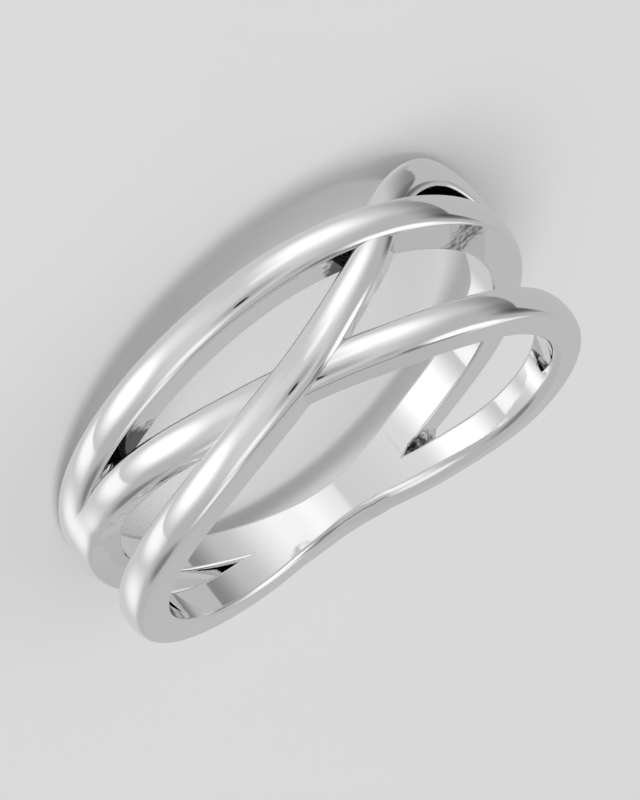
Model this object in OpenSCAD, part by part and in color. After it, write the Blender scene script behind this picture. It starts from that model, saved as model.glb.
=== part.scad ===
// Crossover ring: three polished strands that cross over the finger and join in one narrow shank.
// It is one casting. Angles run round the finger hole from the middle of the crossing, which is at -Y.

/* [Fit] */
// Inside diameter of the finger hole
finger_d = 17.3; // [15:0.1:21]
// Reach of the strands' centre lines to each side of the shank, along the finger
bow_reach = 3.2; // [2.6:0.1:4]

/* [Strand] */
// Width of a strand, across its own run
strand_w = 1.45; // [1.2:0.05:1.7]
// Height of a strand from the finger to its crown
strand_h = 1.55; // [1.3:0.05:2]
// Rise of the rounded top above the flat side walls
dome_h = 0.28; // [0.1:0.02:0.6]
// Rounding of the two edges that meet the finger
edge_r = 0.12; // [0.05:0.01:0.3]

/* [Smoothness] */
// Sections that each strand is built through
strand_steps = 120; // [60:12:132]
// Points on the rounded top of a section, from wall to wall
dome_points = 9; // [5:2:9]

/* [Hidden] */

// Each strand's run, section by section: where it lies and how high its crown is.
// ANGLE is in degrees. ACROSS is the share of bow_reach along the finger, where below zero is the
// far side. CROWN is the share of strand_h: a strand dips where the next one passes over it.
ANGLE = 0;
ACROSS = 1;
CROWN = 2;
FAR_RUN = [
  [0, -0.70, 1.04], [45, -0.66, 1.03], [80, -0.58, 1.03], [110, -0.42, 1.02],
  [145, -0.20, 1.00], [180, 0.00, 1.00], [215, -0.23, 1.00], [260, -0.34, 1.02],
  [300, -0.46, 1.05], [326, -0.58, 1.07], [342, -0.66, 1.05]
];
CROSSING_RUN = [
  [0, 0.33, 1.02], [18, 0.57, 1.01], [40, 0.68, 0.98], [75, 0.62, 0.98], [115, 0.48, 0.98],
  [150, 0.27, 0.98], [180, 0.03, 0.98], [215, -0.20, 0.98], [255, -0.31, 0.98], [275, -0.60, 0.99],
  [290, -0.98, 1.00], [303, -1.11, 1.00], [320, -0.86, 0.93], [338, -0.22, 0.96]
];
NEAR_RUN = [
  [0, 0.55, 0.85], [20, 0.30, 0.87], [50, -0.12, 0.92], [80, -0.37, 0.94], [115, -0.35, 0.96],
  [145, -0.18, 0.96], [180, 0.07, 0.96], [205, 0.40, 0.96], [235, 0.73, 0.94],
  [275, 0.87, 0.90], [320, 0.86, 0.88], [342, 0.75, 0.87]
];

finger_r = finger_d / 2;
wall_end_r = finger_r + edge_r;
// What each strand reaches into the finger hole before the hole is cut, so that the cut is clean
FAR_TRIM = 0.16;
CROSSING_TRIM = 0.20;
NEAR_TRIM = 0.24;
// Length of the cutter for the finger hole, past both sides of the widest bow
cutter_l = 4 * bow_reach + 4 * strand_w;
// Half the angle over which a strand's slope is measured
SLOPE_ANGLE = 1;

// The ring lies on its side: on the bow of its crossing strand, and on the edge of its far strand,
// where it could rock.
CROSSING_REST = 299;
FAR_REST = 109;
ROCK_ANGLE = 2;

// A run's value in one column, at row i counted round and round
function row(run, i, column) =
  let (n = len(run), turn = floor(i / n))
  run[i - turn * n][column] + (column == ANGLE ? 360 * turn : 0);

// A smooth curve through the rows: each row's tangent follows the rows on its two sides
function tangent(run, i, column) =
  (row(run, i + 1, column) - row(run, i - 1, column)) / (row(run, i + 1, ANGLE) - row(run, i - 1, ANGLE));
function blend(v0, v1, t0, t1, s) =
  v0 * (1 + 2 * s) * pow(1 - s, 2) + v1 * (3 - 2 * s) * pow(s, 2)
  + t0 * s * pow(1 - s, 2) - t1 * pow(s, 2) * (1 - s);
function along(run, angle, column) =
  let (
    a = angle - 360 * floor(angle / 360),
    i = max([for (k = [0:len(run) - 1]) if (run[k][ANGLE] <= a) k]),
    a0 = row(run, i, ANGLE),
    span = row(run, i + 1, ANGLE) - a0
  )
  blend(
    row(run, i, column), row(run, i + 1, column),
    tangent(run, i, column) * span, tangent(run, i + 1, column) * span, (a - a0) / span
  );

function across(run, angle) = bow_reach * along(run, angle, ACROSS);
function crown_r(run, angle) = finger_r + strand_h * along(run, angle, CROWN);

// Half width along the finger: a slanting strand keeps its width across its own run
function half_w(run, angle) =
  let (
    rise = across(run, angle + SLOPE_ANGLE) - across(run, angle - SLOPE_ANGLE),
    arc = (finger_r + strand_h / 2) * 2 * SLOPE_ANGLE * PI / 180
  )
  strand_w / 2 * norm([1, rise / arc]);

// One section as [radius, place along the finger]: a D with flat walls, a low dome and eased edges.
// Below the eased edge it runs on at 45 degrees, so the cut of the finger hole crosses it cleanly.
function half_section(run, angle, trim, side) =
  let (z = across(run, angle), w = half_w(run, angle), ease = edge_r * (1 - cos(45)))
  [
    [finger_r - trim, z + side * (w - 2 * ease - trim)],
    [finger_r + ease, z + side * (w - ease)],
    [wall_end_r, z + side * w]
  ];
function dome(run, angle) =
  let (z = across(run, angle), w = half_w(run, angle), wall_r = crown_r(run, angle) - dome_h)
  [
    for (i = [0:dome_points - 1])
      let (turn = 180 * i / (dome_points - 1))
      [wall_r + dome_h * sin(turn), z - w * cos(turn)]
  ];
function backward(list) = [for (i = [len(list) - 1:-1:0]) list[i]];
function section(run, angle, trim) =
  concat(half_section(run, angle, trim, -1), dome(run, angle), backward(half_section(run, angle, trim, 1)));

function place(angle, p) = [p[0] * sin(angle), -p[0] * cos(angle), p[1]];

// A closed loop skinned through its sections
module strand(run, trim) {
  n = len(section(run, 0, trim));
  points = [
    for (i = [0:strand_steps - 1])
      let (angle = 360 * i / strand_steps)
      for (p = section(run, angle, trim)) place(angle, p)
  ];
  faces = [
    for (i = [0:strand_steps - 1])
      for (j = [0:n - 1])
        let (
          here = i * n,
          next = ((i + 1) % strand_steps) * n,
          k = (j + 1) % n
        )
        each [[here + j, here + k, next + k], [here + j, next + k, next + j]]
  ];
  polyhedron(points = points, faces = faces, convexity = 8);
}

module far_strand() {
  color("gainsboro") strand(FAR_RUN, FAR_TRIM);
}

module crossing_strand() {
  color("silver") strand(CROSSING_RUN, CROSSING_TRIM);
}

module near_strand() {
  color("lightgray") strand(NEAR_RUN, NEAR_TRIM);
}

module finger_hole() {
  color("whitesmoke") cylinder(d = finger_d, h = cutter_l, center = true, $fn = 128);
}

// Lowest edges of the ring as it lies: the crossing strand's at the finger, the far strand's outside
function far_edge(run, angle, r) = place(angle, [r, across(run, angle) - half_w(run, angle)]);
rest_bow = far_edge(CROSSING_RUN, CROSSING_REST, wall_end_r);
rest_rock = [
  for (side = [-1, 1])
    let (angle = FAR_REST + side * ROCK_ANGLE)
    far_edge(FAR_RUN, angle, crown_r(FAR_RUN, angle) - dome_h)
];
rest_normal = cross(rest_rock[0] - rest_bow, rest_rock[1] - rest_bow);
rest_up = rest_normal / norm(rest_normal) * sign(rest_normal.z);
lean = acos(rest_up.z);

module ring_band() {
  rotate(a = lean, v = cross(rest_up, [0, 0, 1]))
    difference() {
      union() {
        far_strand();
        crossing_strand();
        near_strand();
      }
      finger_hole();
    }
}

ring_band();
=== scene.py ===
"""Crossover ring in mirror-polished white metal, lying on its side on a pale studio floor.

Three domed strands cross over the front of the finger and join in one narrow shank. Three thin webs
fill tight places between them, as in the casting. Sizes are in millimetres in the classes and in
metres in Blender. Angles run round the finger hole in degrees, from the middle of the crossing.
"""

import logging
import math
from dataclasses import dataclass, field
from enum import Enum

import bpy
import numpy as np
from mathutils import Matrix, Vector


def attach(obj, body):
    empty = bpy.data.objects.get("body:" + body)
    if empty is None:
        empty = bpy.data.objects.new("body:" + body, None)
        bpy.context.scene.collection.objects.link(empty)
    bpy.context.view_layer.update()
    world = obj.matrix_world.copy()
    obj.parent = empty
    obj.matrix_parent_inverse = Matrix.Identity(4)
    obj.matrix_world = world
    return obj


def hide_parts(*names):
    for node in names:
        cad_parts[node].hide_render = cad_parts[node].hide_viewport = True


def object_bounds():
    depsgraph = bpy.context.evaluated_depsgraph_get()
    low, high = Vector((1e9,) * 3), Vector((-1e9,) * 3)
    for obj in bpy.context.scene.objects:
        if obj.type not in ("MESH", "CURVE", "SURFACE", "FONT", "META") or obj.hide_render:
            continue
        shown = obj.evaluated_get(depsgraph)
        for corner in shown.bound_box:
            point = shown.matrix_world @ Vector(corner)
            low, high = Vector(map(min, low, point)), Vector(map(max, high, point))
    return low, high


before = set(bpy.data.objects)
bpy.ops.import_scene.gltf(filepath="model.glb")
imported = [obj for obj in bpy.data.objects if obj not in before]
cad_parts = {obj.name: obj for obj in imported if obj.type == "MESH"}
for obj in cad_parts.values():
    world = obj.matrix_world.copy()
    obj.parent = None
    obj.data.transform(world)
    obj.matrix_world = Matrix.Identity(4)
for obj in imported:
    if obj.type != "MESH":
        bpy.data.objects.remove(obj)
cad_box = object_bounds()

LOG = logging.getLogger("crossover_ring")
MM = 0.001


class Column(Enum):
    """What a row of a strand's run holds."""

    ACROSS = "across"
    CROWN = "crown"
    WIDTH = "width"
    EASE = "ease"


class Side(Enum):
    """The two sides of a strand, along the finger."""

    FAR = -1
    NEAR = 1


@dataclass(frozen=True)
class Row:
    """One place on a strand's run.

    Args:
        angle: Place round the finger, in degrees.
        across: Share of the bow's reach along the finger, below zero on the far side.
        crown: Share of the strand's height that its crown has here.
        width: Share of the strand's width that it has here.
        ease: Share of the ring's edge rounding that its near inner edge has here.
    """

    angle: float
    across: float
    crown: float
    width: float = 1.0
    ease: float = 1.0


def rows(*values: tuple[float, ...]) -> tuple[Row, ...]:
    """Makes the rows of a run.

    Args:
        *values: Plain values of each row: angle, across and crown, and then width and ease if need be.

    Returns:
        The rows, in the same order.
    """
    return tuple(Row(*value) for value in values)


@dataclass(frozen=True)
class RingSizes:
    """Sizes of the ring, in millimetres, as its construction source has them."""

    finger_d: float = 17.3
    bow_reach: float = 3.2
    strand_w: float = 1.45
    strand_h: float = 1.55
    dome_h: float = 0.28
    edge_r: float = 0.12
    crossing_rest: float = 299.0
    far_rest: float = 109.0
    rock_angle: float = 2.0

    @property
    def finger_r(self) -> float:
        """Radius of the finger hole."""
        return self.finger_d / 2

    @property
    def wall_end_r(self) -> float:
        """Radius at which a strand's flat side wall ends and its eased edge begins."""
        return self.finger_r + self.edge_r


def away_from(middle: float, angle: np.ndarray) -> np.ndarray:
    """How far some angles are from a middle one, round the ring.

    Args:
        middle: The middle angle, in degrees.
        angle: The other angles, in degrees.

    Returns:
        Differences from 0 to 180 degrees.
    """
    return np.abs(np.mod(angle - middle + 180, 360) - 180)


@dataclass(frozen=True)
class WallLean:
    """A stretch of a strand where its near wall leans.

    Args:
        angle: Middle of the stretch, in degrees.
        reach: Half its length, in degrees.
        top: How far the wall's top moves out at the middle, in millimetres.
        foot: How far its foot moves out there, in millimetres.
    """

    angle: float
    reach: float
    top: float
    foot: float

    def share(self, angle: np.ndarray) -> np.ndarray:
        """How much of the lean there is at some angles, from 0 to 1."""
        return (1 - np.clip(away_from(self.angle, angle) / self.reach, 0, 1) ** 2) ** 2


@dataclass(frozen=True)
class ShadePatch:
    """A stretch of a strand's near wall, in a tight corner, where painted shade darkens the metal's
    colour.

    Args:
        angle: Middle of the stretch, in degrees.
        reach: Half its length, in degrees.
        strength: How dark its painted shade is, from 0 to 1.
    """

    angle: float
    reach: float
    strength: float

    # Share of the reach at which the patch has faded out
    FADED = 1.5

    def at(self, angle: np.ndarray) -> np.ndarray:
        """How much painted shade the wall has at some angles, from 0 to 1."""
        return self.strength * np.clip(self.FADED - away_from(self.angle, angle) / self.reach, 0, 1)


@dataclass(frozen=True)
class Run:
    """The line that a strand or a web follows round the finger.

    Args:
        name: Its name.
        stops: Rows in the order of their angles.
        trim: What the strand reaches into the finger hole before the hole is cut.
        lift: How far its inner side stands back from the finger hole.
        leans: Where its near wall leans.
        corner_shade: Where its near wall has painted shade.
    """

    name: str
    stops: tuple[Row, ...]
    trim: float
    lift: float = 0.0
    leans: tuple[WallLean, ...] = ()
    corner_shade: tuple[ShadePatch, ...] = ()

    def along(self, angle: np.ndarray, column: Column) -> np.ndarray:
        """Value of one column at some angles, on a smooth closed curve through the rows.

        Args:
            angle: Angles in degrees, of any size.
            column: The column to follow.

        Returns:
            One value for each angle.
        """
        at = np.array([stop.angle for stop in self.stops], dtype=float)
        value = np.array([getattr(stop, column.value) for stop in self.stops], dtype=float)
        at = np.concatenate([at[-2:] - 360, at, at[:3] + 360])
        value = np.concatenate([value[-2:], value, value[:3]])
        slope = np.zeros_like(at)
        slope[1:-1] = (value[2:] - value[:-2]) / (at[2:] - at[:-2])
        turned = np.mod(angle, 360)
        i = np.clip(np.searchsorted(at, turned, side="right") - 1, 1, len(at) - 3)
        span = at[i + 1] - at[i]
        s = (turned - at[i]) / span
        return (
            value[i] * (1 + 2 * s) * (1 - s) ** 2
            + value[i + 1] * (3 - 2 * s) * s**2
            + slope[i] * span * s * (1 - s) ** 2
            - slope[i + 1] * span * s**2 * (1 - s)
        )


# The patches in each run paint shade into its near wall's colour in tight corners.
FAR_RUN = Run(
    "far_strand",
    rows(
        (0, -0.70, 1.04), (45, -0.66, 1.03), (80, -0.58, 1.03), (110, -0.42, 1.02),
        (145, -0.20, 1.00), (180, 0.00, 1.00), (215, -0.23, 1.00), (260, -0.34, 1.02),
        (300, -0.46, 1.05), (326, -0.58, 1.07), (342, -0.66, 1.05),
    ),
    trim=0.16,
    corner_shade=(ShadePatch(48, 8, 1.0), ShadePatch(340, 6, 1.0), ShadePatch(304, 6, 0.6)),
)
CROSSING_RUN = Run(
    "crossing_strand",
    rows(
        (0, 0.33, 1.02), (18, 0.57, 1.01), (40, 0.68, 0.98), (75, 0.62, 0.98),
        (115, 0.48, 0.98, 1.0, 1.3), (150, 0.27, 0.98, 1.0, 2.0), (180, 0.03, 0.98, 1.0, 2.0),
        (215, -0.20, 0.98), (255, -0.31, 0.98), (275, -0.60, 0.99), (290, -0.98, 1.00),
        (303, -1.11, 1.00), (320, -0.86, 0.93), (338, -0.22, 0.96),
    ),
    trim=0.20,
    leans=(WallLean(-32, 36, -0.28, 0.0), WallLean(-46, 24, 0.0, 0.32), WallLean(-16, 18, 0.0, -0.12)),
    corner_shade=(ShadePatch(204, 5, 0.62),),
)
NEAR_RUN = Run(
    "near_strand",
    rows(
        (0, 0.55, 0.85, 1.0, 2.3), (20, 0.30, 0.87, 1.0, 2.3), (50, -0.12, 0.92, 1.0, 2.3),
        (80, -0.37, 0.94, 1.0, 2.3), (115, -0.35, 0.96, 1.0, 2.3), (145, -0.18, 0.96, 1.0, 2.3),
        (180, 0.07, 0.96, 1.0, 3.4), (205, 0.40, 0.96, 1.0, 4.6), (235, 0.73, 0.94, 1.0, 3.3),
        (275, 0.87, 0.90, 1.0, 2.3), (320, 0.86, 0.88, 1.0, 2.3), (342, 0.75, 0.87, 1.0, 2.3),
    ),
    trim=0.24,
    corner_shade=(ShadePatch(62, 8, 0.45),),
)
# Fills the valley where the far and near strands merge. Elsewhere it is hidden in the far strand.
MERGE_WEB = Run(
    "merge_web",
    rows(
        (0, -0.70, 0.90, 0.80), (30, -0.68, 0.88, 0.80), (50, -0.645, 0.80, 0.85),
        (55, -0.58, 0.83, 1.04), (61, -0.535, 0.865, 1.24), (67, -0.49, 0.935, 1.48),
        (74, -0.472, 1.005, 1.53),
        (82, -0.469, 1.040, 1.43), (92, -0.458, 1.040, 1.30), (110, -0.391, 1.032, 1.13),
        (130, -0.286, 1.010, 1.04), (150, -0.17, 0.92, 0.85), (180, 0.00, 0.88, 0.80),
        (215, -0.23, 0.88, 0.80), (260, -0.34, 0.90, 0.80), (300, -0.46, 0.90, 0.80),
        (340, -0.65, 0.90, 0.80),
    ),
    trim=0.28,
    corner_shade=(ShadePatch(51, 5, 1.0),),
)
# Smooths the shank's near edge. Elsewhere it is hidden in the crossing strand.
SHANK_WEB = Run(
    "shank_web",
    rows(
        (0, 0.33, 0.85, 0.55), (18, 0.57, 0.84, 0.55), (40, 0.68, 0.82, 0.55),
        (75, 0.62, 0.82, 0.55), (115, 0.48, 0.84, 0.55), (145, 0.30, 0.88, 0.60),
        (158, 0.20, 0.93, 0.85, 2.0), (165, 0.155, 0.962, 1.0, 2.2), (172, 0.134, 0.967, 1.0, 2.6),
        (178, 0.125, 0.967, 1.0, 3.2), (184, 0.149, 0.965, 1.0, 3.7), (191, 0.19, 0.955, 0.97, 4.0),
        (199, 0.03, 0.92, 0.58), (214, -0.18, 0.86, 0.50), (235, -0.25, 0.84, 0.50),
        (255, -0.31, 0.84, 0.50), (275, -0.60, 0.84, 0.50), (290, -0.98, 0.84, 0.50),
        (303, -1.11, 0.84, 0.50), (320, -0.86, 0.80, 0.50), (338, -0.22, 0.82, 0.50),
    ),
    trim=0.32,
)
# Ends the gap beside the shank, set back from the finger. Elsewhere it is hidden in the crossing strand.
GAP_WEB = Run(
    "gap_web",
    rows(
        (0, 0.33, 0.85, 0.50), (18, 0.57, 0.84, 0.50), (40, 0.68, 0.82, 0.50),
        (75, 0.62, 0.82, 0.50), (115, 0.48, 0.84, 0.50), (150, 0.27, 0.84, 0.50),
        (180, 0.03, 0.84, 0.50), (192, 0.02, 0.88, 0.50), (198, 0.12, 0.92, 0.50),
        (202, 0.14, 0.93, 0.55), (205, 0.12, 0.93, 0.50), (208, 0.03, 0.92, 0.42),
        (212, -0.14, 0.88, 0.42), (220, -0.20, 0.84, 0.50), (255, -0.31, 0.84, 0.50),
        (275, -0.60, 0.84, 0.50), (290, -0.98, 0.84, 0.50), (303, -1.11, 0.84, 0.50),
        (320, -0.86, 0.80, 0.50), (338, -0.22, 0.82, 0.50),
    ),
    trim=0.08,
    lift=0.45,
    corner_shade=(ShadePatch(203, 8, 0.74),),
)


def place(angle: np.ndarray, radius: np.ndarray, across: np.ndarray) -> np.ndarray:
    """Points round the finger hole, in the ring's own frame.

    Args:
        angle: Angles in degrees.
        radius: Distances from the finger's axis.
        across: Places along the finger.

    Returns:
        An array of points, with x, y and z last.
    """
    turn = np.radians(angle)
    return np.stack([radius * np.sin(turn), -radius * np.cos(turn), across + 0 * turn], axis=-1)


@dataclass(frozen=True)
class Strand:
    """One domed strand: a D section with flat walls, a low dome and eased inner edges.

    Args:
        sizes: Sizes of the ring.
        run: The line that the strand follows.
        steps: Sections round the finger.
        dome_steps: Facets across the dome.
        edge_steps: Facets round an eased edge.
        wall_steps: Facets down a side wall.
    """

    sizes: RingSizes
    run: Run
    steps: int = 360
    dome_steps: int = 28
    edge_steps: int = 5
    wall_steps: int = 3

    # Half the angle over which the slope is measured
    SLOPE_ANGLE = 1.0
    # How far an eased edge turns before it runs straight on into the finger hole, and how far in
    EDGE_TURN = 80.0
    DIP = 0.01
    # Place in the section of the point where that straight piece ends
    FOOT = 1

    def centre(self, angle: np.ndarray) -> np.ndarray:
        """Place of the strand's centre line along the finger."""
        return self.sizes.bow_reach * self.run.along(angle, Column.ACROSS)

    def wall_r(self, angle: np.ndarray) -> np.ndarray:
        """Radius at which the dome begins, at some angles."""
        crown = self.sizes.strand_h * self.run.along(angle, Column.CROWN)
        return self.sizes.finger_r + crown - self.sizes.dome_h

    def half_w(self, angle: np.ndarray) -> np.ndarray:
        """Half width along the finger, so that a slanting strand keeps its width.

        Args:
            angle: Angles in degrees.

        Returns:
            The half width at each angle.
        """
        rise = self.centre(angle + self.SLOPE_ANGLE) - self.centre(angle - self.SLOPE_ANGLE)
        arc = (self.sizes.finger_r + self.sizes.strand_h / 2) * math.radians(2 * self.SLOPE_ANGLE)
        width = self.sizes.strand_w * self.run.along(angle, Column.WIDTH)
        return width / 2 * np.hypot(1.0, rise / arc)

    def near_edge_r(self, angle: np.ndarray) -> np.ndarray:
        """Rounding of the strand's near inner edge."""
        return self.sizes.edge_r * self.run.along(angle, Column.EASE)

    def _eased_edge(self, edge_r: np.ndarray) -> list[tuple[np.ndarray, np.ndarray]]:
        """One inner edge of the section, from the hole outwards.

        Args:
            edge_r: The edge's rounding, at some angles.

        Returns:
            Rise over the strand's inner side, and step in from its wall, for each point of the edge.
        """
        dip = self.DIP
        turn = np.radians(np.linspace(self.EDGE_TURN, 0, self.edge_steps + 1))
        arc = [(edge_r * (1 - math.sin(t)), edge_r * (1 - math.cos(t))) for t in turn]
        low_rise, low_in = arc[0]
        skim = (low_rise + dip) * math.tan(math.radians(self.EDGE_TURN))
        foot = (-dip + 0 * edge_r, low_in + skim)
        root = (-self.run.trim + 0 * edge_r, foot[1] + self.run.trim - dip)
        return [root, foot, *arc]

    def section(self, angle: np.ndarray) -> tuple[np.ndarray, np.ndarray]:
        """The closed section at some angles.

        Args:
            angle: Angles in degrees.

        Returns:
            Radius and place along the finger of each section point, one row for each angle.
        """
        angle = np.atleast_1d(angle)
        middle, half, wall = self.centre(angle), self.half_w(angle), self.wall_r(angle)
        top, foot = 0 * angle, 0 * angle
        for lean in self.run.leans:
            top = top + lean.top * lean.share(angle)
            foot = foot + lean.foot * lean.share(angle)
        inner = self.sizes.finger_r + self.run.lift
        far_r, near_r = self.sizes.edge_r + 0 * angle, self.near_edge_r(angle)
        radius, across = [], []
        for rise, inward in self._eased_edge(far_r):
            radius.append(inner + rise)
            across.append(middle - half + inward)
        for share in np.linspace(0, 1, self.wall_steps + 1)[1:-1]:
            radius.append((inner + far_r) * (1 - share) + wall * share)
            across.append(middle - half)
        for turn in np.linspace(0, math.pi, self.dome_steps + 1):
            radius.append(wall + self.sizes.dome_h * math.sin(turn))
            across.append(middle + top / 2 - (half + top / 2) * math.cos(turn))
        for share in np.linspace(1, 0, self.wall_steps + 1)[1:-1]:
            radius.append((inner + near_r) * (1 - share) + wall * share)
            across.append(middle + half + foot * (1 - share) + top * share)
        for rise, inward in reversed(self._eased_edge(near_r)):
            radius.append(inner + rise)
            across.append(middle + half + foot - inward)
        return np.stack(radius, axis=1), np.stack(across, axis=1)

    def grid(self) -> np.ndarray:
        """Lays the points of the strand's skin.

        Returns:
            The points in the ring's own frame, one row for each section.
        """
        angle = np.arange(self.steps) * 360 / self.steps
        radius, across = self.section(angle)
        return place(angle[:, None], radius, across)

    def skin_normals(self) -> np.ndarray:
        """Finds which way the skin faces at each of its points.

        Returns:
            Outward normals, one row for each section. Where the finger hole is cut they face the finger.
        """
        points = self.grid()
        round_ring = np.roll(points, -1, axis=0) - np.roll(points, 1, axis=0)
        round_section = np.roll(points, -1, axis=1) - np.roll(points, 1, axis=1)
        normal = np.cross(round_ring, round_section)
        normal /= np.linalg.norm(normal, axis=-1, keepdims=True)
        middle = points.mean(axis=1, keepdims=True)
        crown = points.shape[1] // 2
        outward = np.einsum("ij,ij->i", normal[:, crown], (points - middle)[:, crown])
        normal *= np.sign(outward.mean())
        for foot in (self.FOOT, -1 - self.FOOT):
            inward = -points[:, foot] * (1, 1, 0)
            normal[:, foot] = inward / np.linalg.norm(inward, axis=-1, keepdims=True)
        return normal

    def mesh(self) -> bpy.types.Mesh:
        """Makes the strand as a closed mesh.

        Returns:
            The mesh, in millimetres.
        """
        points = self.grid()
        n = points.shape[1]
        i, j = np.meshgrid(np.arange(self.steps), np.arange(n), indexing="ij")
        here, ahead = i * n, ((i + 1) % self.steps) * n
        k = (j + 1) % n
        faces = np.stack([here + j, here + k, ahead + k, ahead + j], axis=-1).reshape(-1, 4)
        mesh = bpy.data.meshes.new(self.run.name)
        mesh.from_pydata(points.reshape(-1, 3).tolist(), [], faces.tolist())
        return outward_mesh(mesh)

    def nearest(self, points: np.ndarray) -> tuple[np.ndarray, np.ndarray]:
        """Where some points lie against the strand's skin.

        Args:
            points: Points in the ring's own frame.

        Returns:
            The distance from each point to the skin, and the skin's smooth normal there.
        """
        angle = np.degrees(np.arctan2(points[:, 0], -points[:, 1]))
        radius, across = self.section(angle)
        at = np.stack([np.hypot(points[:, 0], points[:, 1]), points[:, 2]], axis=-1)[:, None]
        start = np.stack([radius, across], axis=-1)
        leg = np.roll(start, -1, axis=1) - start
        share = ((at - start) * leg).sum(-1) / np.maximum((leg**2).sum(-1), 1e-12)
        share = np.clip(share, 0, 1)
        gap = np.linalg.norm(start + leg * share[..., None] - at, axis=-1)
        k = gap.argmin(axis=1)
        pick = np.arange(len(points))
        along = np.mod(angle, 360) * self.steps / 360
        i = np.floor(along).astype(int) % self.steps
        s, t = (along - np.floor(along))[:, None], share[pick, k][:, None]
        table, n = self.skin_normals(), start.shape[1]
        i1, k1 = (i + 1) % self.steps, (k + 1) % n
        normal = (table[i, k] * (1 - t) + table[i, k1] * t) * (1 - s) + (
            table[i1, k] * (1 - t) + table[i1, k1] * t
        ) * s
        return gap[pick, k], normal / np.linalg.norm(normal, axis=-1, keepdims=True)


def outward_mesh(mesh: bpy.types.Mesh) -> bpy.types.Mesh:
    """Turns a closed mesh the right way out.

    Args:
        mesh: A closed mesh, whose faces all face in or all face out.

    Returns:
        The same mesh, with its faces facing out.
    """
    mesh.update()
    volume = 0.0
    for face in mesh.polygons:
        volume += face.center.dot(face.normal) * face.area
    if volume < 0:
        mesh.flip_normals()
    return mesh


@dataclass
class FinishNodes:
    """The nodes of one finish: its shader and what drives the shader's sockets.

    Args:
        name: The material's name.
    """

    name: str

    def __post_init__(self) -> None:
        """Starts the material with its shader alone."""
        self.material = bpy.data.materials.new(self.name)
        self.material.use_nodes = True
        self.nodes, self.links = self.material.node_tree.nodes, self.material.node_tree.links
        self.nodes.clear()
        out = self.nodes.new("ShaderNodeOutputMaterial")
        self.shader = self.nodes.new("ShaderNodeBsdfPrincipled")
        self.links.new(self.shader.outputs["BSDF"], out.inputs["Surface"])
        self.place_on = self.nodes.new("ShaderNodeTexCoord").outputs["Object"]

    def noise(self, place_on: bpy.types.NodeSocket, scale: float, detail: float) -> bpy.types.NodeSocket:
        """Adds a noise.

        Args:
            place_on: Where on the piece it is looked up.
            scale: Its spots in one unit of length.
            detail: How many times finer spots are added.

        Returns:
            The socket with the noise, from 0 to 1.
        """
        node = self.nodes.new("ShaderNodeTexNoise")
        node.inputs["Scale"].default_value = scale
        node.inputs["Detail"].default_value = detail
        self.links.new(place_on, node.inputs["Vector"])
        return node.outputs["Fac"]

    def spread(
        self, value: bpy.types.NodeSocket, span: tuple[float, float], to: tuple[float, float], kind: str
    ) -> bpy.types.NodeSocket:
        """Spreads one span of a value over another.

        Args:
            value: The socket to follow.
            span: The value's span.
            to: The span that it is spread over.
            kind: The interpolation's name in the node.

        Returns:
            The socket with the result.
        """
        node = self.nodes.new("ShaderNodeMapRange")
        node.interpolation_type = kind
        self.links.new(value, node.inputs["Value"])
        node.inputs["From Min"].default_value, node.inputs["From Max"].default_value = span
        node.inputs["To Min"].default_value, node.inputs["To Max"].default_value = to
        return node.outputs["Result"]

    def tone(
        self,
        share: bpy.types.NodeSocket,
        plain: tuple[float, float, float, float],
        other: tuple[float, float, float, float],
    ) -> None:
        """Gives the shader its colour, between two.

        Args:
            share: Share of the other colour.
            plain: The plain colour.
            other: The other colour.
        """
        node = self.nodes.new("ShaderNodeMix")
        node.data_type = "RGBA"
        node.inputs["A"].default_value = plain
        node.inputs["B"].default_value = other
        self.links.new(share, node.inputs["Factor"])
        self.links.new(node.outputs["Result"], self.shader.inputs["Base Color"])


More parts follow.
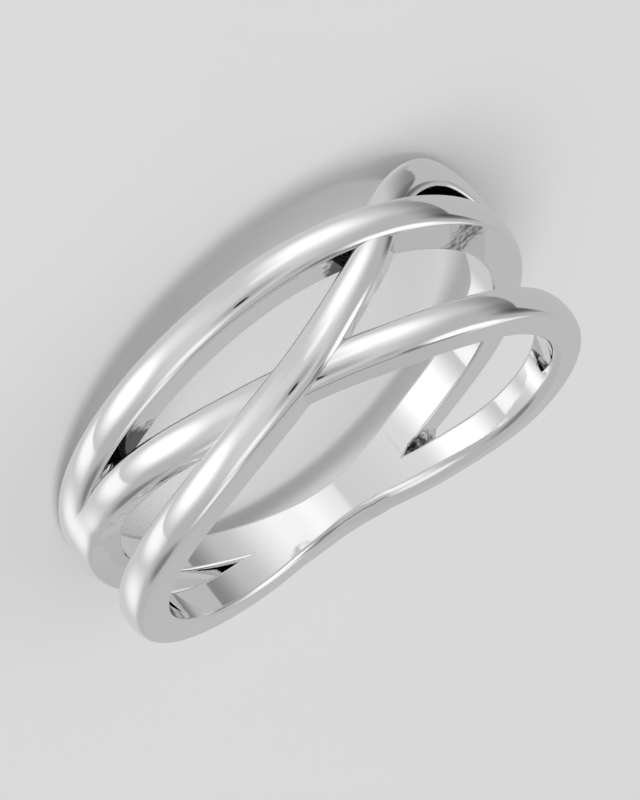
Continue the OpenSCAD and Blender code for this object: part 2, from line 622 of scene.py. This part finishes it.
@dataclass(frozen=True)
class PolishedMetal:
    """Mirror-polished white metal with faint polishing lines, soft wear in random patches, and painted
    shade in tight corners.

    Args:
        name: The material's name.
        colour: Colour of the metal.
        smooth: Roughness of the freshest polish.
        worn: Roughness where wear has dulled it.
        line_depth: Strength of the polishing lines.
        corner_shade: Colour of the shade painted on the walls in tight corners.
    """

    # Name of the mesh attribute that says how much painted shade the skin has
    SHADE_ATTRIBUTE = "painted_shade_amount"
    # Scale of the noise that makes the painted shade's rim ragged
    SHADE_RIM_SCALE = 4200.0
    # Sums of the painted shade amount and the rim noise at which the metal has no painted shade, and
    # full painted shade
    SHADE_RIM = (0.85, 1.35)
    CLOUD_SCALE = 260.0
    # Values of the cloud noise at which the polish is freshest, and most worn
    CLOUD_RIM = (0.35, 0.75)
    # The polishing lines lie round the ring, so their noise is finest along the finger
    LINE_STRETCH = (900.0, 900.0, 14000.0)
    LINE_RISE = 0.00002

    name: str = "polished_white_metal"
    colour: tuple[float, float, float, float] = (0.90, 0.90, 0.905, 1.0)
    smooth: float = 0.018
    worn: float = 0.06
    line_depth: float = 0.02
    # Near-black colour of the painted shade in tight corners
    corner_shade: tuple[float, float, float, float] = (0.10, 0.10, 0.10, 1.0)

    def material(self) -> bpy.types.Material:
        """Makes the finish as a node material.

        Returns:
            The material.
        """
        made = FinishNodes(self.name)
        made.shader.inputs["Metallic"].default_value = 1.0
        self._paint_corner_shade(made)
        cloud = made.noise(made.place_on, self.CLOUD_SCALE, detail=4.0)
        rough = made.spread(cloud, self.CLOUD_RIM, (self.smooth, self.worn), "LINEAR")
        made.links.new(rough, made.shader.inputs["Roughness"])
        self._polishing_lines(made)
        return made.material

    def _paint_corner_shade(self, made: FinishNodes) -> None:
        """Paints shade into the colour where the skin's painted shade amount is high, with a ragged rim.

        Args:
            made: The finish's nodes.
        """
        painted_shade_amount = made.nodes.new("ShaderNodeAttribute")
        painted_shade_amount.attribute_name = self.SHADE_ATTRIBUTE
        ragged = made.nodes.new("ShaderNodeMath")
        ragged.operation = "ADD"
        made.links.new(painted_shade_amount.outputs["Fac"], ragged.inputs[0])
        rim_noise = made.noise(made.place_on, self.SHADE_RIM_SCALE, detail=3.0)
        made.links.new(rim_noise, ragged.inputs[1])
        shade_share = made.spread(ragged.outputs[0], self.SHADE_RIM, (0.0, 1.0), "SMOOTHSTEP")
        made.tone(shade_share, self.colour, self.corner_shade)

    def _polishing_lines(self, made: FinishNodes) -> None:
        """Raises faint lines on the metal.

        Args:
            made: The finish's nodes.
        """
        stretch = made.nodes.new("ShaderNodeMapping")
        stretch.inputs["Scale"].default_value = self.LINE_STRETCH
        made.links.new(made.place_on, stretch.inputs["Vector"])
        bump = made.nodes.new("ShaderNodeBump")
        bump.inputs["Strength"].default_value = self.line_depth
        bump.inputs["Distance"].default_value = self.LINE_RISE
        lines = made.noise(stretch.outputs["Vector"], scale=1.0, detail=2.0)
        made.links.new(lines, bump.inputs["Height"])
        made.links.new(bump.outputs["Normal"], made.shader.inputs["Normal"])


@dataclass(frozen=True)
class PalePaint:
    """Matt pale paint of the studio floor.

    Args:
        name: The material's name.
        light: Colour of its lighter places.
        dark: Colour of its darker places.
        roughness: How matt it is.
        grain: Scale of its light and dark places.
    """

    name: str = "pale_floor_paint"
    light: tuple[float, float, float, float] = (0.80, 0.80, 0.80, 1.0)
    dark: tuple[float, float, float, float] = (0.77, 0.77, 0.775, 1.0)
    roughness: float = 0.9
    grain: float = 40.0

    def material(self) -> bpy.types.Material:
        """Makes the finish as a node material.

        Returns:
            The material.
        """
        made = FinishNodes(self.name)
        made.shader.inputs["Roughness"].default_value = self.roughness
        made.tone(made.noise(made.place_on, self.grain, detail=2.0), self.dark, self.light)
        return made.material


@dataclass
class RingBand:
    """The ring: strands and webs fused into one band, cut by the finger hole and laid on its side.

    Args:
        sizes: Sizes of the ring.
        runs: The lines that its strands and webs follow.
        finish: The metal's finish.
    """

    sizes: RingSizes = field(default_factory=RingSizes)
    runs: tuple[Run, ...] = (FAR_RUN, CROSSING_RUN, NEAR_RUN, MERGE_WEB, SHANK_WEB, GAP_WEB)
    finish: PolishedMetal = field(default_factory=PolishedMetal)

    HOLE_STEPS = 360
    # A face within this of the finger hole belongs to it
    HOLE_SKIN = 0.0002
    # Painted shade fades out over this much above the flat wall
    WALL_RIM = 0.06
    # Two skins this close run together. The cosine between them says how much: not at all up to the
    # first value of MERGE_TURN, and fully from the second.
    MERGE_REACH = 0.03
    MERGE_TURN = (0.85, 0.95)

    def __post_init__(self) -> None:
        """Makes a strand for each run."""
        self.strands = tuple(Strand(self.sizes, run) for run in self.runs)

    def _far_edge(self, strand: Strand, angle: float, radius: float) -> Vector:
        """Finds a point on the far edge of a strand.

        Args:
            strand: The strand.
            angle: The point's angle, in degrees.
            radius: Its distance from the finger's axis.

        Returns:
            The point in the ring's own frame.
        """
        at = np.array([angle])
        across = strand.centre(at) - strand.half_w(at)
        return Vector(place(at, np.array([radius]), across)[0])

    def lean(self) -> Matrix:
        """Works out how the ring lies on the floor.

        Returns:
            The turn from the ring's own frame to the way it lies.
        """
        far, crossing = self.strands[0], self.strands[1]
        bow = self._far_edge(crossing, self.sizes.crossing_rest, self.sizes.wall_end_r)
        rock = []
        for side in Side:
            angle = self.sizes.far_rest + side.value * self.sizes.rock_angle
            rock.append(self._far_edge(far, angle, float(far.wall_r(np.array([angle]))[0])))
        up = (rock[0] - bow).cross(rock[1] - bow).normalized()
        if up.z < 0:
            up.negate()
        return Matrix.Rotation(up.angle(Vector((0, 0, 1))), 3, up.cross(Vector((0, 0, 1))))

    def _hole_mesh(self) -> bpy.types.Mesh:
        """Makes the cutter for the finger hole.

        Returns:
            The cutter's closed mesh, in millimetres.
        """
        n, half = self.HOLE_STEPS, 2 * self.sizes.bow_reach + 2 * self.sizes.strand_w
        angle = np.arange(n) * 360 / n
        radius = np.full(n, self.sizes.finger_r)
        low, high = place(angle, radius, -half + 0 * angle), place(angle, radius, half + 0 * angle)
        sides = [[i, (i + 1) % n, n + (i + 1) % n, n + i] for i in range(n)]
        ends = [list(range(n))[::-1], list(range(n, 2 * n))]
        mesh = bpy.data.meshes.new("finger_hole")
        mesh.from_pydata(np.concatenate([low, high]).tolist(), [], sides + ends)
        return outward_mesh(mesh)

    def _fused_mesh(self) -> bpy.types.Mesh:
        """Joins the strands into one closed skin and cuts the finger hole out.

        Returns:
            The fused mesh, in millimetres.
        """
        parts = [bpy.data.objects.new(s.run.name, s.mesh()) for s in self.strands]
        parts.append(bpy.data.objects.new("finger_hole", self._hole_mesh()))
        for part in parts:
            bpy.context.scene.collection.objects.link(part)
        base = parts[0]
        for part in parts[1:]:
            step = base.modifiers.new(part.name, "BOOLEAN")
            step.operation = "DIFFERENCE" if part is parts[-1] else "UNION"
            step.solver, step.object = "MANIFOLD", part
        fused = bpy.data.meshes.new_from_object(
            base.evaluated_get(bpy.context.evaluated_depsgraph_get())
        )
        for part in parts:
            source = part.data
            bpy.data.objects.remove(part)
            bpy.data.meshes.remove(source)
        return fused

    def _owner(self, centre: np.ndarray) -> np.ndarray:
        """Finds which strand each face belongs to.

        Args:
            centre: Middles of the faces.

        Returns:
            The strand's number for each face, or one past the last for the finger hole.
        """
        owner = np.stack([strand.nearest(centre)[0] for strand in self.strands]).argmin(axis=0)
        in_hole = np.hypot(centre[:, 0], centre[:, 1]) < self.sizes.finger_r + self.HOLE_SKIN
        owner[in_hole] = len(self.strands)
        return owner

    def _normals(self, corners: np.ndarray, owner: np.ndarray) -> np.ndarray:
        """Finds smooth normals for the fused skin.

        Args:
            corners: Points of the face corners.
            owner: The strand that each corner's face belongs to.

        Returns:
            One normal for each corner. They keep crisp lines where two strands cross, and run
            together where they merge.
        """
        looked = [strand.nearest(corners) for strand in self.strands]
        gap = np.stack([found[0] for found in looked])
        facing = np.stack([found[1] for found in looked])
        own, pick = np.minimum(owner, len(self.strands) - 1), np.arange(len(corners))
        none, full = self.MERGE_TURN
        cosine = (facing * facing[own, pick]).sum(-1)
        share = np.exp(-np.maximum(gap - gap[own, pick], 0) / self.MERGE_REACH)
        share *= np.clip((cosine - none) / (full - none), 0, 1)
        normals = (share[..., None] * facing).sum(axis=0)
        in_hole = owner == len(self.strands)
        normals[in_hole] = -corners[in_hole] * (1, 1, 0)
        return normals / np.linalg.norm(normals, axis=-1, keepdims=True)

    def _corner_shade_amounts(self, corners: np.ndarray, owner: np.ndarray, normals: np.ndarray) -> np.ndarray:
        """Finds how much painted shade the fused skin has.

        Args:
            corners: Points of the face corners.
            owner: The strand that each corner's face belongs to.
            normals: The skin's normals there.

        Returns:
            A dullness from 0 to 1 for each corner. On a strand only near walls are dull, and on a
            web that stands back from the finger also its inner side.
        """
        angle = np.degrees(np.arctan2(corners[:, 0], -corners[:, 1]))
        radius = np.hypot(corners[:, 0], corners[:, 1])
        corner_shade = np.zeros(len(corners))
        for i, strand in enumerate(self.strands):
            mine = (owner == i) & ((normals[:, 2] > 0) | (strand.run.lift > 0))
            on_wall = np.clip(1 - (radius - strand.wall_r(angle)) / self.WALL_RIM, 0, 1)
            for patch in strand.run.corner_shade:
                corner_shade[mine] = np.maximum(corner_shade, patch.at(angle) * on_wall)[mine]
        return corner_shade

    def _skin(self, mesh: bpy.types.Mesh) -> tuple[np.ndarray, np.ndarray]:
        """Looks up what the fused skin is like at each face corner.

        Args:
            mesh: The fused mesh, in millimetres.

        Returns:
            The normal and the painted shade amount of each face corner.
        """
        points = np.empty(len(mesh.vertices) * 3)
        mesh.vertices.foreach_get("co", points)
        corner_point = np.empty(len(mesh.loops), dtype=np.int32)
        mesh.loops.foreach_get("vertex_index", corner_point)
        corners = points.reshape(-1, 3)[corner_point]
        count = np.empty(len(mesh.polygons), dtype=np.int32)
        mesh.polygons.foreach_get("loop_total", count)
        centre = np.empty(len(mesh.polygons) * 3)
        mesh.polygons.foreach_get("center", centre)
        owner = np.repeat(self._owner(centre.reshape(-1, 3)), count)
        normals = self._normals(corners, owner)
        return normals, self._corner_shade_amounts(corners, owner, normals)

    def build(self) -> bpy.types.Object:
        """Makes the ring, dresses it and sets it in the frame.

        Returns:
            The ring's object.
        """
        mesh = self._fused_mesh()
        normals, corner_shade = self._skin(mesh)
        lean = self.lean()
        # The corner attribute carries the painted shade amount to the material
        mesh.attributes.new(PolishedMetal.SHADE_ATTRIBUTE, "FLOAT", "CORNER").data.foreach_set("value", corner_shade)
        mesh.polygons.foreach_set("use_smooth", np.ones(len(mesh.polygons), dtype=bool))
        mesh.transform(Matrix.Scale(MM, 4) @ lean.to_4x4())
        mesh.normals_split_custom_set((normals @ np.array(lean.transposed())).tolist())
        mesh.name = "polished_ring"
        mesh.materials.clear()
        mesh.materials.append(self.finish.material())
        ring = bpy.data.objects.new("polished_ring", mesh)
        bpy.context.scene.collection.objects.link(ring)
        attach(ring, "root")
        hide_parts("ring_band")
        return ring


@dataclass(frozen=True)
class StudioFloor:
    """The plain pale floor that the ring lies on.

    Args:
        reach: Half its side, in metres.
        cells: Cells along one side.
        finish: The floor's paint.
    """

    reach: float = 1.5
    cells: int = 12
    finish: PalePaint = field(default_factory=PalePaint)

    def build(self, height: float) -> bpy.types.Object:
        """Lays the floor.

        Args:
            height: The floor's height, in metres.

        Returns:
            The floor's object.
        """
        side = np.linspace(-self.reach, self.reach, self.cells + 1)
        points = [(x, y, height) for y in side for x in side]
        row = self.cells + 1
        faces = [
            (j * row + i, j * row + i + 1, (j + 1) * row + i + 1, (j + 1) * row + i)
            for j in range(self.cells)
            for i in range(self.cells)
        ]
        mesh = bpy.data.meshes.new("studio_floor")
        mesh.from_pydata(points, [], faces)
        mesh.materials.append(self.finish.material())
        floor = bpy.data.objects.new("studio_floor", mesh)
        bpy.context.scene.collection.objects.link(floor)
        floor.visible_glossy = False
        return floor


def direction(turn: float, lift: float) -> Vector:
    """A direction away from the ring.

    Args:
        turn: Place round the ring, in degrees, from -Y towards +X.
        lift: Height over the horizon, in degrees.

    Returns:
        The direction as a unit vector.
    """
    turn, lift = math.radians(turn), math.radians(lift)
    return Vector(
        (math.sin(turn) * math.cos(lift), -math.cos(turn) * math.cos(lift), math.sin(lift))
    )


class PanelKind(Enum):
    """What a panel does to the light of the room behind it."""

    GLOW = "adds its light"
    CARD = "covers what is behind it"


@dataclass(frozen=True)
class PanelEdge:
    """A straight edge that cuts a panel off: the panel stays on the right of the way along it.

    Args:
        start: Turn and lift of one place on the edge.
        end: Turn and lift of another place on it.
        soft: Half the width of its blur, in degrees.
    """

    start: tuple[float, float]
    end: tuple[float, float]
    soft: float = 1.0

    def inward(self) -> Vector:
        """Direction square to the edge, towards the panel's own side."""
        return direction(*self.end).cross(direction(*self.start)).normalized()


@dataclass(frozen=True)
class LightPanel:
    """A soft round panel of light or shade, far away in the studio.

    Args:
        name: The panel's name.
        turn: Its place round the ring, in degrees, from -Y towards +X.
        lift: Its height over the horizon, in degrees.
        half_w: Half its width, in degrees.
        half_h: Half its height, in degrees.
        core: Share of the panel that is even, before its soft rim.
        amount: Light that it adds or, for a card, the light that it shows.
        kind: What it does to the light behind it.
        edges: Straight edges that cut it off.
    """

    name: str
    turn: float
    lift: float
    half_w: float
    half_h: float
    core: float
    amount: float
    kind: PanelKind = PanelKind.GLOW
    edges: tuple[PanelEdge, ...] = ()


@dataclass
class RoomShader:
    """Builds the light of the studio room in the world's own nodes.

    Args:
        world: The world to light.
        even: Light of the bare room.
    """

    world: bpy.types.World
    even: float

    # Light that is left in the darkest place
    LEAST = 0.02

    def __post_init__(self) -> None:
        """Starts from the bare room."""
        self.world.use_nodes = True
        self.nodes = self.world.node_tree.nodes
        self.links = self.world.node_tree.links
        self.place_on = self.nodes.new("ShaderNodeTexCoord").outputs["Generated"]
        self.light: bpy.types.NodeSocket | None = None

    def _math(self, operation: str, *inputs: float | bpy.types.NodeSocket) -> bpy.types.NodeSocket:
        """Adds one sum to the nodes.

        Args:
            operation: The sum's name in the node.
            *inputs: Plain numbers and sockets to work on.

        Returns:
            The socket with the result.
        """
        node = self.nodes.new("ShaderNodeMath")
        node.operation = operation
        for i, value in enumerate(inputs):
            if isinstance(value, bpy.types.NodeSocket):
                self.links.new(value, node.inputs[i])
            else:
                node.inputs[i].default_value = value
        return node.outputs[0]

    def _share(self, along: Vector) -> bpy.types.NodeSocket:
        """Measures how far the looked-at direction goes along a vector.

        Args:
            along: The vector.

        Returns:
            The socket with the measure.
        """
        node = self.nodes.new("ShaderNodeVectorMath")
        node.operation = "DOT_PRODUCT"
        self.links.new(self.place_on, node.inputs[0])
        node.inputs[1].default_value = along
        return node.outputs["Value"]

    def _fade(self, value: bpy.types.NodeSocket, none: float, full: float) -> bpy.types.NodeSocket:
        """Adds a soft step to the nodes.

        Args:
            value: The socket to follow.
            none: Value at which the step is at 0.
            full: Value at which it is at 1.

        Returns:
            The socket with the step.
        """
        node = self.nodes.new("ShaderNodeMapRange")
        node.interpolation_type = "SMOOTHSTEP"
        self.links.new(value, node.inputs["Value"])
        node.inputs["From Min"].default_value = none
        node.inputs["From Max"].default_value = full
        return node.outputs["Result"]

    def hang(self, panel: LightPanel) -> None:
        """Hangs one panel in the room.

        Args:
            panel: The panel.
        """
        centre = direction(panel.turn, panel.lift)
        turn = math.radians(panel.turn)
        right = Vector((math.cos(turn), math.sin(turn), 0))
        up = centre.cross(right)
        aside = self._share(right / math.sin(math.radians(panel.half_w)))
        above = self._share(up / math.sin(math.radians(panel.half_h)))
        out = self._math("POWER", aside, 2.0)
        out = self._math("SQRT", self._math("MULTIPLY_ADD", above, above, out))
        cover = self._fade(out, 1.0, panel.core)
        cover = self._math("MULTIPLY", cover, self._math("GREATER_THAN", self._share(centre), 0.0))
        for edge in panel.edges:
            blur = math.sin(math.radians(edge.soft))
            cover = self._math("MULTIPLY", cover, self._fade(self._share(edge.inward()), -blur, blur))
        behind = self.even if self.light is None else self.light
        if panel.kind is PanelKind.CARD:
            kept = self._math("MULTIPLY", behind, self._math("SUBTRACT", 1.0, cover))
            self.light = self._math("MULTIPLY_ADD", cover, panel.amount, kept)
        else:
            self.light = self._math("MULTIPLY_ADD", cover, panel.amount, behind)
        self.light.node.label = panel.name

    def finish(self) -> None:
        """Sends the room's light to the world."""
        light = self._math("MAXIMUM", self.light, self.LEAST)
        self.links.new(light, self.nodes["Background"].inputs["Strength"])
        self.nodes["Background"].inputs["Color"].default_value = (1.0, 1.0, 1.0, 1.0)


# Turn and lift of two places on the room's upright left corner
LEFT_CORNER = (91, -60), (91, 20)
# Turn and lift of the finger's upper end
FINGER_AXIS = 154, 81.3
# Each panel's name, turn and lift, half width and half height, core and amount
PANELS = (
    LightPanel("below", 0, -90, 90, 90, 0.96, 0.13),
    LightPanel("front", 10, 8, 80, 30, 0.5, 0.17),
    LightPanel("front_left", 62, -25, 26, 30, 0.25, 0.52),
    LightPanel(
        "front_left_wide", 42, -27, 42, 27, 0.0, 0.26,
        edges=(PanelEdge(LEFT_CORNER[1], LEFT_CORNER[0], 4.0),),
    ),
    LightPanel("front_right", -38, -20, 36, 29, 0.1, 0.60),
    LightPanel("left", 97, -31, 18, 27, 0.25, 0.42, edges=(PanelEdge(*LEFT_CORNER),)),
    LightPanel("left_back", 135, -22, 22, 20, 0.1, 0.36),
    LightPanel("over_right", -79, 41, 30, 20, 0.55, 0.62),
    LightPanel("over_right_back", -128, 43, 26, 18, 0.3, 0.46),
    LightPanel("over_front", 38, 30, 30, 16, 0.3, 0.44),
    LightPanel("over_left", 78, 46, 26, 20, 0.3, 0.46),
    LightPanel("shade_right", -100, -16, 28, 46, 0.1, -0.36),
    LightPanel("shade_right_core", -95, 0, 10, 6, 0.3, -0.08),
    LightPanel("shade_right_band", -106, 7, 30, 9, 0.3, -0.17),
    LightPanel("shade_left", 111, 12, 20, 22, 0.3, -0.27),
    LightPanel("shade_over", -42, 53, 12, 10, 0.2, -0.38),
    LightPanel("shade_over_front", -24, 29, 10, 7, 0.1, -0.14),
    LightPanel("shade_front", 0, 11, 26, 14, 0.2, -0.26),
    LightPanel("card_front", 3, 12.5, 5, 4, 0.4, -0.60),
    LightPanel(
        "front_right_low", -15, -9.5, 18, 7, 0.3, 0.20,
        edges=(PanelEdge((-5, 0), (-5, -30), 1.5),),
    ),
    LightPanel(
        "shade_axis", *FINGER_AXIS, 37, 37, 0.88, -0.34,
        edges=(PanelEdge((60, 80), (60, 0), 12.0),),
    ),
    LightPanel(
        "glow_axis", *FINGER_AXIS, 27, 27, 0.85, 0.42,
        edges=(PanelEdge((60, 80), (60, 0), 12.0),),
    ),
    LightPanel(
        "backdrop", -138, -12, 45, 60, 0.9, 0.53, PanelKind.CARD,
        edges=(
            PanelEdge((-100, 40), (-100, -25), 1.0),
            PanelEdge((-130, 12.5), (-98, -3), 1.5),
            PanelEdge((-103, -34), (-125, -44), 2.0),
        ),
    ),
)


@dataclass(frozen=True)
class FloorLamp:
    """A large soft lamp over the floor. The polished metal doesn't mirror it.

    Args:
        turn: Its place round the ring, in degrees, from -Y towards +X.
        lift: Its height over the horizon, in degrees.
        distance: Its distance from the ring, in metres.
        side: Length of its side, in metres.
        power: Its power, in watts.
    """

    turn: float = 60.0
    lift: float = 70.0
    distance: float = 0.8
    side: float = 0.5
    power: float = 2.5

    def build(self) -> bpy.types.Object:
        """Hangs the lamp.

        Returns:
            The lamp's object.
        """
        lamp = bpy.data.lights.new("floor_lamp", "AREA")
        lamp.size = self.side
        lamp.energy = self.power
        made = bpy.data.objects.new("floor_lamp", lamp)
        away = direction(self.turn, self.lift)
        made.location = away * self.distance
        made.rotation_mode = "QUATERNION"
        made.rotation_quaternion = away.to_track_quat("Z", "Y")
        made.visible_glossy = False
        bpy.context.scene.collection.objects.link(made)
        return made


@dataclass(frozen=True)
class StudioLight:
    """Soft studio light: an even room with soft panels round the ring, and a lamp for the floor.

    Args:
        even: Light of the bare room.
        panels: The panels, from the back to the front.
        lamp: The lamp over the floor.
    """

    even: float = 0.50
    panels: tuple[LightPanel, ...] = PANELS
    lamp: FloorLamp = field(default_factory=FloorLamp)

    def build(self) -> None:
        """Lights the room."""
        world = bpy.data.worlds.new("studio_room")
        bpy.context.scene.world = world
        room = RoomShader(world, self.even)
        for panel in self.panels:
            room.hang(panel)
        room.finish()
        self.lamp.build()


@dataclass(frozen=True)
class PhotoCamera:
    """The camera, at the photograph's angle to the ring.

    Args:
        turn: Its place round the ring, in degrees, from -Y towards +X.
        lift: Its height over the plane across the finger, in degrees.
        roll: Its turn about its own line of sight, in degrees.
        distance: Its distance from the middle of the finger hole, in millimetres.
        scale: Pixels for a millimetre at that distance.
        middle: Where the middle of the finger hole appears, in pixels.
        picture: The picture's width and height, in pixels.
        film: The film's long side, in millimetres.
        clip: Nearest and furthest distance that it sees, in metres.
    """

    turn: float = 8.632
    lift: float = 18.703
    roll: float = 38.593
    distance: float = 129.75
    scale: float = 26.518
    middle: tuple[float, float] = (317.93, 424.90)
    picture: tuple[int, int] = (640, 800)
    film: float = 36.0
    clip: tuple[float, float] = (0.005, 10.0)

    def build(self, lean: Matrix) -> bpy.types.Object:
        """Sets up the camera.

        Args:
            lean: Turn from the ring's own frame to the way it lies.

        Returns:
            The camera's object.
        """
        roll = math.radians(self.roll)
        away = direction(self.turn, self.lift)
        right = Vector((0, 0, 1)).cross(away).normalized()
        up = away.cross(right)
        picture_right = -math.cos(roll) * right + math.sin(roll) * up
        picture_up = -math.sin(roll) * right - math.cos(roll) * up
        aside = (self.picture[0] / 2 - self.middle[0]) / self.scale
        above = (self.middle[1] - self.picture[1] / 2) / self.scale
        aim = picture_right * aside + picture_up * above
        stand = away * self.distance
        back = (stand - aim).normalized()
        side = picture_up.cross(back).normalized()
        turned = Matrix((side, back.cross(side), back)).transposed()
        data = bpy.data.cameras.new("photo_camera")
        data.sensor_width = self.film
        data.lens = self.scale * self.distance / max(self.picture) * self.film
        data.clip_start, data.clip_end = self.clip
        camera = bpy.data.objects.new("photo_camera", data)
        camera.matrix_world = Matrix.LocRotScale(
            lean @ stand * MM, (lean @ turned).to_quaternion(), None
        )
        bpy.context.scene.collection.objects.link(camera)
        bpy.context.scene.camera = camera
        return camera


def main() -> None:
    """Builds the ring, its floor, the lights and the camera."""
    logging.basicConfig(level=logging.INFO, format="%(message)s")
    bpy.context.scene.view_settings.view_transform = "Standard"
    band = RingBand()
    ring = band.build()
    LOG.info("%s: %d faces", ring.name, len(ring.data.polygons))
    floor = StudioFloor().build(cad_box[0][2])
    LOG.info("%s: laid at %.2f mm", floor.name, cad_box[0][2] / MM)
    StudioLight().build()
    camera = PhotoCamera().build(band.lean())
    LOG.info("%s: lens %.1f mm", camera.name, camera.data.lens)


if __name__ == "__main__":
    main()
